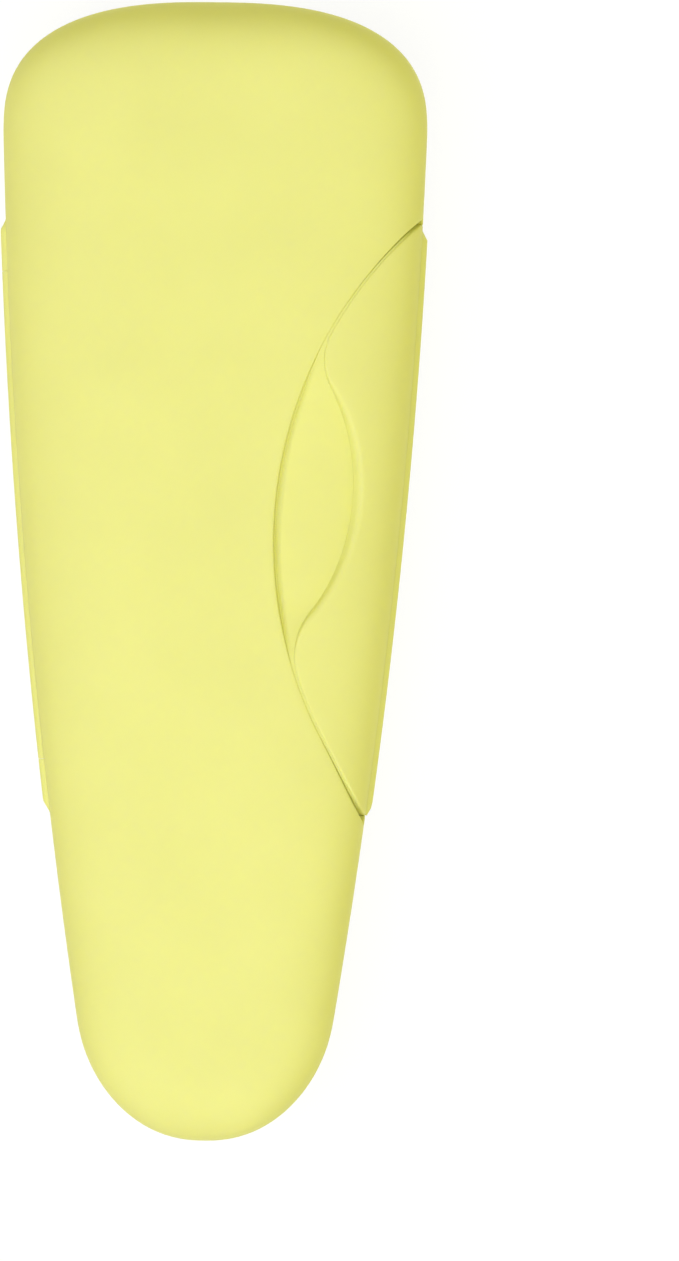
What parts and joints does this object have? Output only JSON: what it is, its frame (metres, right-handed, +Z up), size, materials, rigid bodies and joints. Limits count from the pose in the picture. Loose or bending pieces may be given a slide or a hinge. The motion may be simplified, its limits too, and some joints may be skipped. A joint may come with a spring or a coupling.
{
  "type": "razor travel case",
  "caption": "Hinged travel case for a razor: a long tapering clamshell, wide at the head end, with a side wing and a thumb recess for opening its lid.",
  "frame": {"origin": "centre of the closed case's box, on the flat face it rests on", "axes": "+Z up through the front shell, +Y towards the wide end, +X towards the side with the wing"},
  "size_m": [0.0668, 0.178, 0.0336],
  "materials": {
    "case_plastic": "satin moulded plastic, pale lemon yellow",
    "pin_steel": "drawn bright wire"
  },
  "bodies": {
    "base": {"back_shell": "case_plastic", "side_wing": "case_plastic", "hinge_pin_upper": "pin_steel", "hinge_pin_lower": "pin_steel"},
    "lid": {"front_shell": "case_plastic"}
  },
  "joints": [
    {"name": "lid_hinge", "type": "hinge", "parent": "base", "child": "lid", "pos_m": [-0.03206, 0.0532, 0.0166], "axis": [0.0855, -0.9963, 0], "range_deg": [0, 108]}
  ]
}
